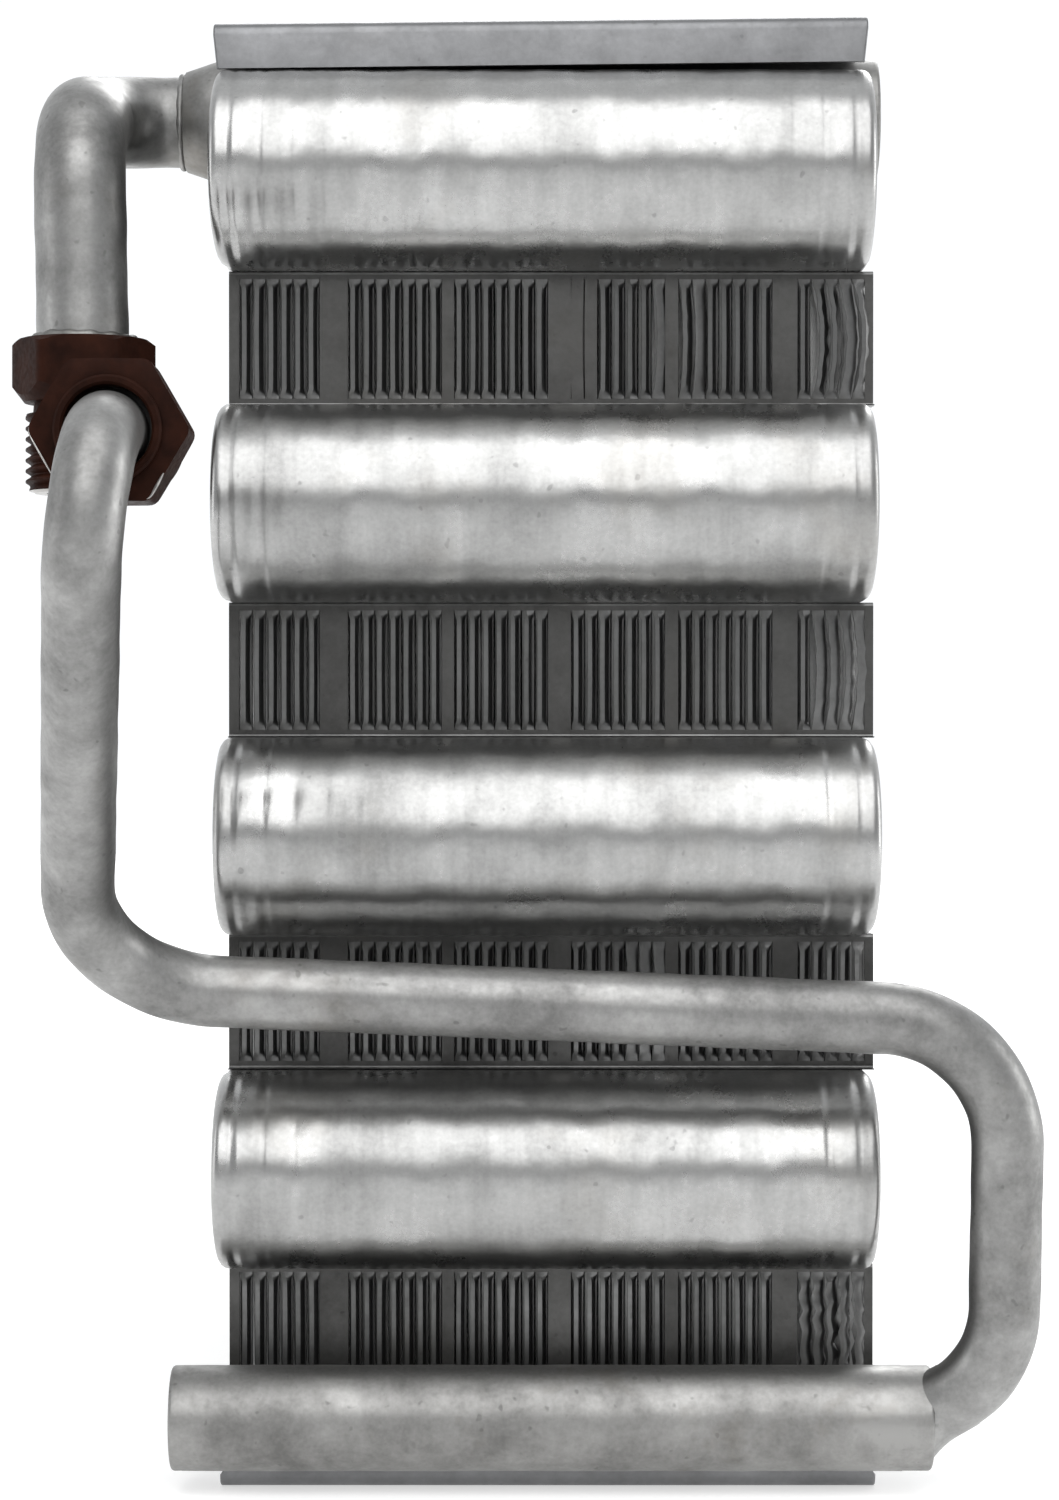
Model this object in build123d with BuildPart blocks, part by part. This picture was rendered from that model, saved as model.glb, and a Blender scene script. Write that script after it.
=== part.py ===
from build123d import *
import os

os.makedirs("parts", exist_ok=True)

# A serpentine evaporator core. All sizes are in millimetres.
# X runs across the core, to the right as seen from the front. Y runs from the front to the back.
# Z is up. The origin is the centre of the underside of the bottom plate.

# Core block
core_depth = 230.0
core_height = 201.4
front_y = -core_depth / 2

# Flat tube and its passes, counted from the bottom
tube_width = 89.0
tube_thickness = 4.3
tube_edge_chamfer = 1.2
pass_pitch = 23.0
lowest_pass_z = 8.7
bend_count = 8
half_tube = tube_thickness / 2
bend_radius = pass_pitch / 2
near_bend_y = front_y + bend_radius + half_tube
far_bend_y = -near_bend_y
pass_z = [lowest_pass_z + pass_pitch * level for level in range(bend_count + 1)]

# End plates
plate_width = 89.9
plate_thickness = 0.9
plate_flange = 6.35
plate_lip = 2.4
plate_bend_radius = 0.8
plate_front_y = front_y + 10.0
plate_back_y = -plate_front_y
top_plate_shift = -0.75
bottom_plate_shift = 0.2

# Fin strips
fin_width = 89.5
fin_shift = 0.7
fin_thickness = 0.2
fin_crest = 0.5
fin_leaf_pitch = 6.0
fin_start_y = front_y + 15.0
fin_end_y = -fin_start_y
fin_first_row_start_y = front_y + 16.0
fin_top_start_y = front_y + 42.0
fin_low_start_y = front_y + 18.0

# Slots that the flat tube is pushed into
slot_clearance = 0.05
tube_entry = 2.2

# Inlet manifold, along X at the bottom front
inlet_manifold_radius = 7.15
inlet_manifold_wall = 1.5
inlet_manifold_y = front_y + 8.0
inlet_manifold_z = 9.9
inlet_manifold_left = -51.1
inlet_manifold_right = 52.4

# Outlet manifold, along X behind the top bend
outlet_manifold_radius = 8.75
outlet_manifold_wall = 1.6
outlet_manifold_y = front_y + 32.0
outlet_manifold_z = 190.8
outlet_manifold_left = -51.6
outlet_manifold_right = 47.2
outlet_cone_length = 5.3
outlet_cone_end_radius = 7.1
outlet_socket_length = 6.6

# Plugs that close the manifolds
plug_thickness = 1.5
bored_plug_thickness = 4.0
plug_spigot = 1.0
plug_chamfer = 0.9
plug_passage_radius = 3.0

# Outlet pipe and its male fitting
outlet_pipe_radius = 6.35
outlet_pipe_wall = 1.25
outlet_bend_radius = 11.5
outlet_axis_x = -63.4
outlet_axis_y = front_y + 10.0
outlet_turn_z = 187.0
outlet_hex_top_z = 157.2
outlet_hex_height = 8.6
outlet_hex_flats = 17.5
outlet_socket_depth = 6.5
outlet_neck_radius = 6.8
outlet_neck_height = 1.4
outlet_thread_radius = 7.94
outlet_thread_length = 11.0
outlet_fitting_bore_radius = 4.8
outlet_top_bevel_radius = 8.85
outlet_top_bevel_drop = 1.1
outlet_low_bevel_radius = 8.1
outlet_low_bevel_rise = 2.9
outlet_bevel_outer_radius = 10.35

# Inlet pipe
inlet_pipe_radius = 4.7625
inlet_pipe_wall = 1.2
inlet_axis_x = -54.0
inlet_axis_z = 140.4
elbow_radius = 11.0
elbow_start_y = front_y - 44.0
elbow_corner_y = front_y - 69.3
pilot_end_y = front_y - 27.0
pilot_radius = 4.45

# Swivel nut on the inlet pipe, and the bead that holds it
nut_back_y = front_y - 45.2
nut_boss_length = 1.2
nut_boss_radius = 6.7
nut_flats = 17.5
nut_hex_length = 9.5
nut_collar_length = 6.0
nut_collar_radius = 8.2
nut_hole_radius = 5.55
nut_thread_bore_radius = 7.1
nut_back_wall = 4.4
nut_bevel_radius = 8.75
nut_bevel_outer_radius = 10.25
nut_bevel_depth = 0.75
bead_radius = 6.4
bead_length = 2.2
bead_play = 0.4

# Turned edges and small allowances
mouth_chamfer = 0.5
thread_chamfer = 0.9
seat_play = 0.02


def finish(piece, name):
    """Names a finished piece and writes it."""
    piece.part.label = name
    export_step(piece.part, f"parts/{name}.step")


def tube_section(width, thickness):
    """Section of the flat tube: its two long edges are bevelled."""
    outline = Rectangle(width, thickness)
    chamfer(outline.vertices(), tube_edge_chamfer)


# The flat tube leaves the inlet manifold, runs to and fro through eight bends,
# and ends in the outlet manifold.
with BuildPart() as flat_tube:
    with BuildLine(Plane.YZ) as tube_route:
        start_y = inlet_manifold_y + tube_entry
        for level, z in enumerate(pass_z):
            heading_back = level % 2 == 0
            end_y = far_bend_y if heading_back else near_bend_y
            if level == bend_count:
                end_y = outlet_manifold_y - tube_entry
            Line((start_y, z), (end_y, z))
            if level < bend_count:
                bend_reach = bend_radius if heading_back else -bend_radius
                bend_middle = (end_y + bend_reach, z + bend_radius)
                ThreePointArc((end_y, z), bend_middle, (end_y, z + pass_pitch))
            start_y = end_y
    with BuildSketch(Plane(origin=tube_route.line @ 0, x_dir=(1, 0, 0), z_dir=tube_route.line % 0)):
        tube_section(tube_width, tube_thickness)
    sweep()
finish(flat_tube, "flat_tube")


def fin_outline(start_y, end_y, low_z, high_z):
    """Section of a corrugated strip: flat crests that seat on both faces, slanted leaves between."""
    leaf_count = round((end_y - start_y - fin_crest) / fin_leaf_pitch)
    leaf_pitch = (end_y - start_y - fin_crest) / leaf_count
    half = fin_crest / 2
    lower_side = []
    upper_side = []
    for crest in range(leaf_count + 1):
        middle_y = start_y + half + crest * leaf_pitch
        if crest % 2 == 0:
            lower_side += [(middle_y - half, low_z), (middle_y + half, low_z)]
            upper_side += [(middle_y, low_z + fin_thickness)]
        else:
            lower_side += [(middle_y, high_z - fin_thickness)]
            upper_side += [(middle_y - half, high_z), (middle_y + half, high_z)]
    return lower_side + upper_side[::-1]


def make_fin_row(name, start_y, end_y, low_z, high_z):
    """One strip of fin between two passes, or between a pass and an end plate."""
    with BuildPart() as fin:
        with BuildSketch(Plane.YZ.offset(fin_shift)):
            with BuildLine():
                Polyline(*fin_outline(start_y, end_y, low_z, high_z), close=True)
            make_face()
        extrude(amount=fin_width / 2, both=True)
    finish(fin, name)


# Seven rows of fin fill the gaps between the passes. Every second gap is open in front.
for row in range(7):
    row_start_y = fin_first_row_start_y if row == 0 else fin_start_y
    row_low_z = pass_z[row] + half_tube
    row_high_z = pass_z[row + 1] - half_tube
    make_fin_row(f"fin_row_{row + 1}", row_start_y, fin_end_y, row_low_z, row_high_z)

# A low row lies under the lowest pass, and a tall one behind the outlet manifold.
make_fin_row("fin_row_low", fin_low_start_y, fin_end_y, plate_thickness, pass_z[0] - half_tube)
top_row_low_z = pass_z[7] + half_tube
top_row_high_z = core_height - plate_thickness
make_fin_row("fin_row_top", fin_top_start_y, fin_end_y, top_row_low_z, top_row_high_z)


def make_plate(name, shift_x, outer_z, inward, front_flange, back_flange):
    """A sheet folded towards the core at its front and back ends."""
    front_edge_z = outer_z + inward * front_flange
    back_edge_z = outer_z + inward * back_flange
    inner_front_y = plate_front_y + plate_thickness
    inner_back_y = plate_back_y - plate_thickness
    inner_z = outer_z + inward * plate_thickness
    with BuildPart() as plate:
        with BuildSketch(Plane.YZ.offset(shift_x)):
            with BuildLine():
                FilletPolyline(
                    (plate_front_y, front_edge_z),
                    (plate_front_y, outer_z),
                    (plate_back_y, outer_z),
                    (plate_back_y, back_edge_z),
                    radius=plate_bend_radius + plate_thickness,
                )
                FilletPolyline(
                    (inner_front_y, front_edge_z),
                    (inner_front_y, inner_z),
                    (inner_back_y, inner_z),
                    (inner_back_y, back_edge_z),
                    radius=plate_bend_radius,
                )
                Line((plate_front_y, front_edge_z), (inner_front_y, front_edge_z))
                Line((plate_back_y, back_edge_z), (inner_back_y, back_edge_z))
            make_face()
        extrude(amount=plate_width / 2, both=True)
    finish(plate, name)


make_plate("top_plate", top_plate_shift, core_height, -1, plate_flange, plate_flange)
make_plate("bottom_plate", bottom_plate_shift, 0, 1, plate_lip, plate_flange)


def plug_outline(outer_radius, bore_radius, seat_x, outward, thickness):
    """Half section of a plug about X: a disc on the tube's end and a spigot inside its bore."""
    face_x = outward * thickness
    spigot_x = -outward * plug_spigot
    Polyline(
        (seat_x + spigot_x, 0),
        (seat_x + spigot_x, bore_radius),
        (seat_x, bore_radius),
        (seat_x, outer_radius),
        (seat_x + face_x - outward * plug_chamfer, outer_radius),
        (seat_x + face_x, outer_radius - plug_chamfer),
        (seat_x + face_x, 0),
        close=True,
    )


# Inlet manifold: a plain round tube with one slot in its back for the lowest pass.
inlet_bore_radius = inlet_manifold_radius - inlet_manifold_wall
inlet_seat_left = inlet_manifold_left + plug_thickness
inlet_seat_right = inlet_manifold_right - bored_plug_thickness
inlet_manifold_axis = Axis((0, inlet_manifold_y, inlet_manifold_z), (1, 0, 0))
inlet_manifold_plane = Plane(origin=inlet_manifold_axis.position, x_dir=(1, 0, 0), z_dir=(0, -1, 0))

with BuildPart() as inlet_manifold:
    with BuildSketch(Plane.YZ.offset(inlet_seat_left)):
        with Locations((inlet_manifold_y, inlet_manifold_z)):
            Circle(inlet_manifold_radius)
            Circle(inlet_bore_radius, mode=Mode.SUBTRACT)
    extrude(amount=inlet_seat_right - inlet_seat_left)
    with BuildSketch(inlet_manifold_plane):
        with Locations((0, lowest_pass_z - inlet_manifold_z)):
            tube_section(tube_width + 2 * slot_clearance, tube_thickness + 2 * slot_clearance)
    extrude(amount=-2 * inlet_manifold_radius, mode=Mode.SUBTRACT)
finish(inlet_manifold, "inlet_manifold")

with BuildPart() as inlet_manifold_left_cap:
    with BuildSketch(inlet_manifold_plane):
        with BuildLine():
            plug_outline(inlet_manifold_radius, inlet_bore_radius, inlet_seat_left, -1, plug_thickness)
        make_face()
    revolve(axis=inlet_manifold_axis)
finish(inlet_manifold_left_cap, "inlet_manifold_left_cap")

# Route of the inlet pipe: pilot end, tight elbow in front of the nut, a slanted run down and back
# to the valley between two bends, across the front, down the right side, into the manifold's end.
valley_left = (-62.8, front_y - 3.0, 69.6)
valley_right = (61.9, front_y - 3.0, 64.6)
lower_right = (61.6, front_y + 2.0, 16.2)
inlet_pipe_end = (51.4, front_y + 7.0, 11.2)
inlet_route_points = [
    (inlet_axis_x, pilot_end_y, inlet_axis_z),
    (inlet_axis_x, elbow_corner_y, inlet_axis_z),
    valley_left,
    valley_right,
    lower_right,
    inlet_pipe_end,
]
inlet_corner_radii = [elbow_radius, 18.0, 17.5, 16.0]
bead_back_y = nut_back_y + nut_back_wall + bead_play
bead_front_y = bead_back_y + bead_length

with BuildPart() as inlet_pipe:
    with BuildLine() as inlet_route:
        FilletPolyline(*inlet_route_points, radius=inlet_corner_radii)
    with BuildSketch(Plane(origin=inlet_route.line @ 0, z_dir=inlet_route.line % 0)):
        Circle(inlet_pipe_radius)
    sweep()
    with BuildSketch(Plane.XZ.offset(-bead_back_y)):
        with Locations((inlet_axis_x, inlet_axis_z)):
            Circle(bead_radius)
    extrude(amount=-bead_length)
    with BuildSketch(Plane.XZ.offset(-pilot_end_y)):
        with Locations((inlet_axis_x, inlet_axis_z)):
            Circle(inlet_pipe_radius)
            Circle(pilot_radius, mode=Mode.SUBTRACT)
    extrude(amount=pilot_end_y - bead_front_y, mode=Mode.SUBTRACT)
    with BuildSketch(Plane.XZ.offset(-pilot_end_y)):
        with Locations((inlet_axis_x, inlet_axis_z)):
            Circle(pilot_radius - inlet_pipe_wall)
    extrude(amount=pilot_end_y - elbow_start_y, mode=Mode.SUBTRACT)
finish(inlet_pipe, "inlet_pipe")

# The right plug is bored for the slanted end of the inlet pipe.
pipe_end_plane = Plane(origin=inlet_route.line @ 1, z_dir=inlet_route.line % 1)

with BuildPart() as inlet_manifold_right_cap:
    with BuildSketch(inlet_manifold_plane):
        with BuildLine():
            plug_outline(inlet_manifold_radius, inlet_bore_radius, inlet_seat_right, 1, bored_plug_thickness)
        make_face()
    revolve(axis=inlet_manifold_axis)
    with BuildSketch(pipe_end_plane):
        Circle(inlet_pipe_radius + seat_play)
    extrude(amount=-bored_plug_thickness * 2, mode=Mode.SUBTRACT)
    with BuildSketch(Plane.YZ.offset(inlet_seat_right - plug_spigot)):
        with Locations((inlet_manifold_y, inlet_manifold_z)):
            Circle(plug_passage_radius)
    extrude(amount=plug_spigot + bored_plug_thickness, mode=Mode.SUBTRACT)
finish(inlet_manifold_right_cap, "inlet_manifold_right_cap")

# Outlet manifold: its left end is spun down to a cone that takes the outlet pipe.
outlet_bore_radius = outlet_manifold_radius - outlet_manifold_wall
outlet_cone_start = outlet_manifold_left + outlet_cone_length
outlet_socket_end = outlet_manifold_left + outlet_socket_length
outlet_seat_right = outlet_manifold_right - plug_thickness
outlet_manifold_axis = Axis((0, outlet_manifold_y, outlet_manifold_z), (1, 0, 0))
outlet_manifold_plane = Plane(origin=outlet_manifold_axis.position, x_dir=(1, 0, 0), z_dir=(0, -1, 0))

with BuildPart() as outlet_manifold:
    with BuildSketch(outlet_manifold_plane):
        with BuildLine():
            Polyline(
                (outlet_manifold_left, outlet_pipe_radius + seat_play),
                (outlet_manifold_left, outlet_cone_end_radius),
                (outlet_cone_start, outlet_manifold_radius),
                (outlet_seat_right, outlet_manifold_radius),
                (outlet_seat_right, outlet_bore_radius),
                (outlet_socket_end, outlet_bore_radius),
                (outlet_socket_end, outlet_pipe_radius + seat_play),
                close=True,
            )
        make_face()
    revolve(axis=outlet_manifold_axis)
    with BuildSketch(outlet_manifold_plane):
        with Locations((0, pass_z[bend_count] - outlet_manifold_z)):
            tube_section(tube_width + 2 * slot_clearance, tube_thickness + 2 * slot_clearance)
    extrude(amount=2 * outlet_manifold_radius, mode=Mode.SUBTRACT)
finish(outlet_manifold, "outlet_manifold")

with BuildPart() as outlet_manifold_cap:
    with BuildSketch(outlet_manifold_plane):
        with BuildLine():
            plug_outline(outlet_manifold_radius, outlet_bore_radius, outlet_seat_right, 1, plug_thickness)
        make_face()
    revolve(axis=outlet_manifold_axis)
finish(outlet_manifold_cap, "outlet_manifold_cap")

# Outlet pipe: out of the cone to the left, forward, and down into the fitting.
outlet_pipe_end_z = outlet_hex_top_z - outlet_socket_depth
outlet_route_points = [
    (outlet_socket_end, outlet_manifold_y, outlet_manifold_z),
    (outlet_axis_x, outlet_manifold_y, outlet_manifold_z),
    (outlet_axis_x, outlet_axis_y, outlet_turn_z),
    (outlet_axis_x, outlet_axis_y, outlet_pipe_end_z),
]

with BuildPart() as outlet_pipe:
    with BuildLine() as outlet_route:
        FilletPolyline(*outlet_route_points, radius=outlet_bend_radius)
    with BuildSketch(Plane(origin=outlet_route.line @ 0, z_dir=outlet_route.line % 0)):
        Circle(outlet_pipe_radius)
    sweep()
    with BuildSketch(Plane.XY.offset(outlet_pipe_end_z)):
        with Locations((outlet_axis_x, outlet_axis_y)):
            Circle(outlet_pipe_radius - outlet_pipe_wall)
    extrude(amount=2 * outlet_socket_depth, mode=Mode.SUBTRACT)
finish(outlet_pipe, "outlet_pipe")

# Outlet fitting: a turned hexagon with a socket for the pipe, a neck and the threaded end.
hex_low_z = outlet_hex_top_z - outlet_hex_height
thread_top_z = hex_low_z - outlet_neck_height
thread_end_z = thread_top_z - outlet_thread_length
outlet_fitting_plane = Plane(origin=(outlet_axis_x, outlet_axis_y, 0), x_dir=(1, 0, 0), z_dir=(0, -1, 0))

with BuildPart() as outlet_fitting:
    with BuildSketch(Plane.XY.offset(hex_low_z)):
        with Locations((outlet_axis_x, outlet_axis_y)):
            RegularPolygon(outlet_hex_flats / 2, 6, major_radius=False)
    extrude(amount=outlet_hex_height)
    with BuildSketch(Plane.XY.offset(thread_end_z)):
        with Locations((outlet_axis_x, outlet_axis_y)):
            Circle(outlet_thread_radius)
    extrude(amount=outlet_thread_length)
    with BuildSketch(Plane.XY.offset(thread_top_z)):
        with Locations((outlet_axis_x, outlet_axis_y)):
            Circle(outlet_neck_radius)
    extrude(amount=outlet_neck_height)
    with BuildSketch(outlet_fitting_plane):
        with BuildLine():
            Polyline(
                (0, outlet_hex_top_z),
                (outlet_top_bevel_radius, outlet_hex_top_z),
                (outlet_bevel_outer_radius, outlet_hex_top_z - outlet_top_bevel_drop),
                (outlet_bevel_outer_radius, hex_low_z + outlet_low_bevel_rise),
                (outlet_low_bevel_radius, hex_low_z),
                (outlet_thread_radius, hex_low_z),
                (outlet_thread_radius, thread_end_z + thread_chamfer),
                (outlet_thread_radius - thread_chamfer, thread_end_z),
                (0, thread_end_z),
                close=True,
            )
        make_face()
    revolve(axis=Axis((outlet_axis_x, outlet_axis_y, 0), (0, 0, 1)), mode=Mode.INTERSECT)
    with BuildSketch(Plane.XY.offset(thread_end_z)):
        with Locations((outlet_axis_x, outlet_axis_y)):
            Circle(outlet_fitting_bore_radius)
    extrude(amount=outlet_hex_top_z - thread_end_z, mode=Mode.SUBTRACT)
    with BuildSketch(Plane.XY.offset(outlet_pipe_end_z)):
        with Locations((outlet_axis_x, outlet_axis_y)):
            Circle(outlet_pipe_radius + seat_play)
    extrude(amount=outlet_socket_depth, mode=Mode.SUBTRACT)
finish(outlet_fitting, "outlet_fitting")

# Swivel nut: round boss at its back, hexagon, and a threaded collar that faces the core.
nut_hex_y = nut_back_y + nut_boss_length
nut_collar_y = nut_hex_y + nut_hex_length
nut_mouth_y = nut_collar_y + nut_collar_length
nut_plane = Plane(origin=(inlet_axis_x, 0, inlet_axis_z), x_dir=(1, 0, 0), z_dir=(0, 0, 1))

with BuildPart() as inlet_nut:
    with BuildSketch(Plane.XZ.offset(-nut_hex_y)):
        with Locations((inlet_axis_x, inlet_axis_z)):
            RegularPolygon(nut_flats / 2, 6, major_radius=False)
    extrude(amount=-nut_hex_length)
    with BuildSketch(Plane.XZ.offset(-nut_back_y)):
        with Locations((inlet_axis_x, inlet_axis_z)):
            Circle(nut_boss_radius)
    extrude(amount=-nut_boss_length)
    with BuildSketch(Plane.XZ.offset(-nut_collar_y)):
        with Locations((inlet_axis_x, inlet_axis_z)):
            Circle(nut_collar_radius)
    extrude(amount=-nut_collar_length)
    with BuildSketch(nut_plane):
        with BuildLine():
            Polyline(
                (0, nut_back_y),
                (nut_boss_radius, nut_back_y),
                (nut_boss_radius, nut_hex_y),
                (nut_bevel_radius, nut_hex_y),
                (nut_bevel_outer_radius, nut_hex_y + nut_bevel_depth),
                (nut_bevel_outer_radius, nut_collar_y - nut_bevel_depth),
                (nut_bevel_radius, nut_collar_y),
                (nut_collar_radius, nut_collar_y),
                (nut_collar_radius, nut_mouth_y - mouth_chamfer),
                (nut_collar_radius - mouth_chamfer, nut_mouth_y),
                (0, nut_mouth_y),
                close=True,
            )
        make_face()
    revolve(axis=Axis((inlet_axis_x, 0, inlet_axis_z), (0, 1, 0)), mode=Mode.INTERSECT)
    with BuildSketch(Plane.XZ.offset(-nut_back_y)):
        with Locations((inlet_axis_x, inlet_axis_z)):
            Circle(nut_hole_radius)
    extrude(amount=-nut_back_wall, mode=Mode.SUBTRACT)
    with BuildSketch(Plane.XZ.offset(-nut_back_y - nut_back_wall)):
        with Locations((inlet_axis_x, inlet_axis_z)):
            Circle(nut_thread_bore_radius)
    extrude(amount=nut_back_y + nut_back_wall - nut_mouth_y, mode=Mode.SUBTRACT)
finish(inlet_nut, "inlet_nut")
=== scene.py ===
import math
import random

import bmesh
import bpy
import numpy as np
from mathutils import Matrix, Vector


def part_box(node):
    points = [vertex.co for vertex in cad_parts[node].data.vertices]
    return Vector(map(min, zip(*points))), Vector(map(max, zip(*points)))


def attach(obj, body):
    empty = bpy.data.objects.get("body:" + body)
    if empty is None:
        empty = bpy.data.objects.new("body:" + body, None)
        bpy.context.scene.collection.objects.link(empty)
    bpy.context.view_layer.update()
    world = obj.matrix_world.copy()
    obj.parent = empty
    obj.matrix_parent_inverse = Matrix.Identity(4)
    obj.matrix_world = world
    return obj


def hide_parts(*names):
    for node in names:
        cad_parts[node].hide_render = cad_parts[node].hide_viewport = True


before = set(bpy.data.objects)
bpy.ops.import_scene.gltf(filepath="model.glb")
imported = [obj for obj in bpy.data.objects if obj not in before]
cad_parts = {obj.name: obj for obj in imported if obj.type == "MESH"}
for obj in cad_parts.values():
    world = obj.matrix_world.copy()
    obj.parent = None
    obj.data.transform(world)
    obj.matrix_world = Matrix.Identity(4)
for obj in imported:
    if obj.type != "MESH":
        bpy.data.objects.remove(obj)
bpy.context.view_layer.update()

# The camera stands straight in front of the core, level with its middle, a little to the left
# of its centre line, half a metre from the front return bends.
MM = 0.001
core_front_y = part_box("flat_tube")[0][1]
core_top_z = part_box("top_plate")[1][2]
camera_distance = 0.5
camera_left_of_middle, camera_above_middle = 2.3 * MM, 0.4 * MM
pixels_per_metre_at_front = 7440
picture_height = 1500
sensor_height_mm = 36
camera_data = bpy.data.cameras.new("front_camera")
camera_data.sensor_fit = "VERTICAL"
camera_data.sensor_height = sensor_height_mm
camera_data.lens = sensor_height_mm * pixels_per_metre_at_front * camera_distance / picture_height
camera_data.clip_start = 0.01
camera_data.clip_end = 20
camera = bpy.data.objects.new("front_camera", camera_data)
camera.location = (-camera_left_of_middle, core_front_y - camera_distance,
                   core_top_z / 2 + camera_above_middle)
camera.rotation_euler = (math.radians(90), 0, 0)
bpy.context.scene.collection.objects.link(camera)
bpy.context.scene.camera = camera
bpy.context.scene.view_settings.view_transform = "Standard"


# The room: a plain pale floor that shines white from the core's front backwards, walls that run
# from white behind the core to grey in front, a broad soft lamp above and in front, and weaker
# lamps at the sides and at the back.
def node(tree, kind, **inputs):
    """A shader node with its input sockets set or linked by name."""
    made = tree.nodes.new(kind)
    for name, value in inputs.items():
        socket = made.inputs[name.replace("_", " ")]
        if isinstance(value, bpy.types.NodeSocket):
            tree.links.new(value, socket)
        else:
            socket.default_value = value
    return made


def combine(tree, operation, first, second=0.0, third=0.0):
    """The output of a math node."""
    made = tree.nodes.new("ShaderNodeMath")
    made.operation = operation
    for socket, value in zip(made.inputs, (first, second, third)):
        if isinstance(value, bpy.types.NodeSocket):
            tree.links.new(value, socket)
        else:
            socket.default_value = value
    return made.outputs[0]


def seen_directly(tree):
    """1 for what the camera sees, also by way of metal or glass."""
    path = tree.nodes.new("ShaderNodeLightPath").outputs
    mirrored = combine(tree, "MAXIMUM", path["Is Glossy Ray"], path["Is Transmission Ray"])
    return combine(tree, "MAXIMUM", path["Is Camera Ray"], mirrored)


floor_reach = 3.0
floor_glow_near, floor_glow_far = 0.5, 0.95
floor_material = bpy.data.materials.new("floor_white")
floor_material.use_nodes = True
floor_tree = floor_material.node_tree
floor_tree.nodes.clear()
floor_matt = node(floor_tree, "ShaderNodeBsdfDiffuse", Color=(0.72, 0.72, 0.72, 1))
floor_light = node(floor_tree, "ShaderNodeEmission", Color=(1, 1, 1, 1))
floor_place = floor_tree.nodes.new("ShaderNodeTexCoord").outputs["Object"]
floor_distance = node(floor_tree, "ShaderNodeVectorMath", Vector=floor_place)
floor_distance.operation = "LENGTH"
floor_glow = node(floor_tree, "ShaderNodeMapRange", Value=floor_distance.outputs["Value"],
                  From_Min=0.6, From_Max=2.4, To_Min=floor_glow_near, To_Max=floor_glow_far)
floor_depth = node(floor_tree, "ShaderNodeSeparateXYZ", Vector=floor_place)
floor_shade = node(floor_tree, "ShaderNodeMapRange", Value=floor_depth.outputs["Y"],
                   From_Min=-0.6, From_Max=-0.1, To_Min=0.0, To_Max=1.0)
floor_strength = combine(floor_tree, "MULTIPLY", floor_glow.outputs[0], floor_shade.outputs[0])
floor_shown = combine(floor_tree, "MULTIPLY", seen_directly(floor_tree), floor_strength)
floor_tree.links.new(floor_shown, floor_light.inputs["Strength"])
floor_sum = node(floor_tree, "ShaderNodeAddShader")
floor_tree.links.new(floor_matt.outputs[0], floor_sum.inputs[0])
floor_tree.links.new(floor_light.outputs[0], floor_sum.inputs[1])
node(floor_tree, "ShaderNodeOutputMaterial", Surface=floor_sum.outputs[0])
floor_mesh = bpy.data.meshes.new("floor")
floor_corners = [(-floor_reach, -floor_reach, 0), (floor_reach, -floor_reach, 0),
                 (floor_reach, floor_reach, 0), (-floor_reach, floor_reach, 0)]
floor_mesh.from_pydata(floor_corners, [], [(0, 1, 2, 3)])
floor_mesh.materials.append(floor_material)
floor = bpy.data.objects.new("floor", floor_mesh)
bpy.context.scene.collection.objects.link(floor)

room = bpy.data.worlds.new("room")
bpy.context.scene.world = room
room.use_nodes = True
room_tree = room.node_tree
room_tree.nodes.clear()
room_place = room_tree.nodes.new("ShaderNodeTexCoord").outputs["Generated"]
room_direction = node(room_tree, "ShaderNodeSeparateXYZ", Vector=room_place)
room_front_shine, room_back_shine = 0.32, 1.06
towards_back = node(room_tree, "ShaderNodeMapRange", Value=room_direction.outputs["Y"],
                    From_Min=-0.95, From_Max=0.85, To_Min=room_front_shine, To_Max=room_back_shine)
room_shine = node(room_tree, "ShaderNodeBackground", Color=(0.97, 0.985, 1, 1),
                  Strength=towards_back.outputs[0])
node(room_tree, "ShaderNodeOutputWorld", Surface=room_shine.outputs[0])


def soft_lamp(name, place, target, width, height, watts):
    """A rectangular soft lamp that faces a point of the core."""
    lamp_data = bpy.data.lights.new(name, "AREA")
    lamp_data.shape = "RECTANGLE"
    lamp_data.size = width
    lamp_data.size_y = height
    lamp_data.energy = watts
    lamp = bpy.data.objects.new(name, lamp_data)
    lamp.location = place
    across, along, down = (place[axis] - target[axis] for axis in range(3))
    lamp.rotation_euler = (math.atan2(math.hypot(across, along), down), 0, math.atan2(across, -along))
    bpy.context.scene.collection.objects.link(lamp)


core_middle = (0, core_front_y, core_top_z / 2)
soft_lamp("high_front_lamp", (0.0, -0.92, 0.92), core_middle, 1.2, 1.4, 11.5)
soft_lamp("left_lamp", (-1.3, -0.3, 0.35), core_middle, 0.4, 0.8, 1.4)
soft_lamp("right_lamp", (1.4, 0.05, 0.35), core_middle, 0.5, 0.8, 4)
soft_lamp("back_lamp", (0.3, 1.4, 1.2), core_middle, 1.0, 0.8, 10)


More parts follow.
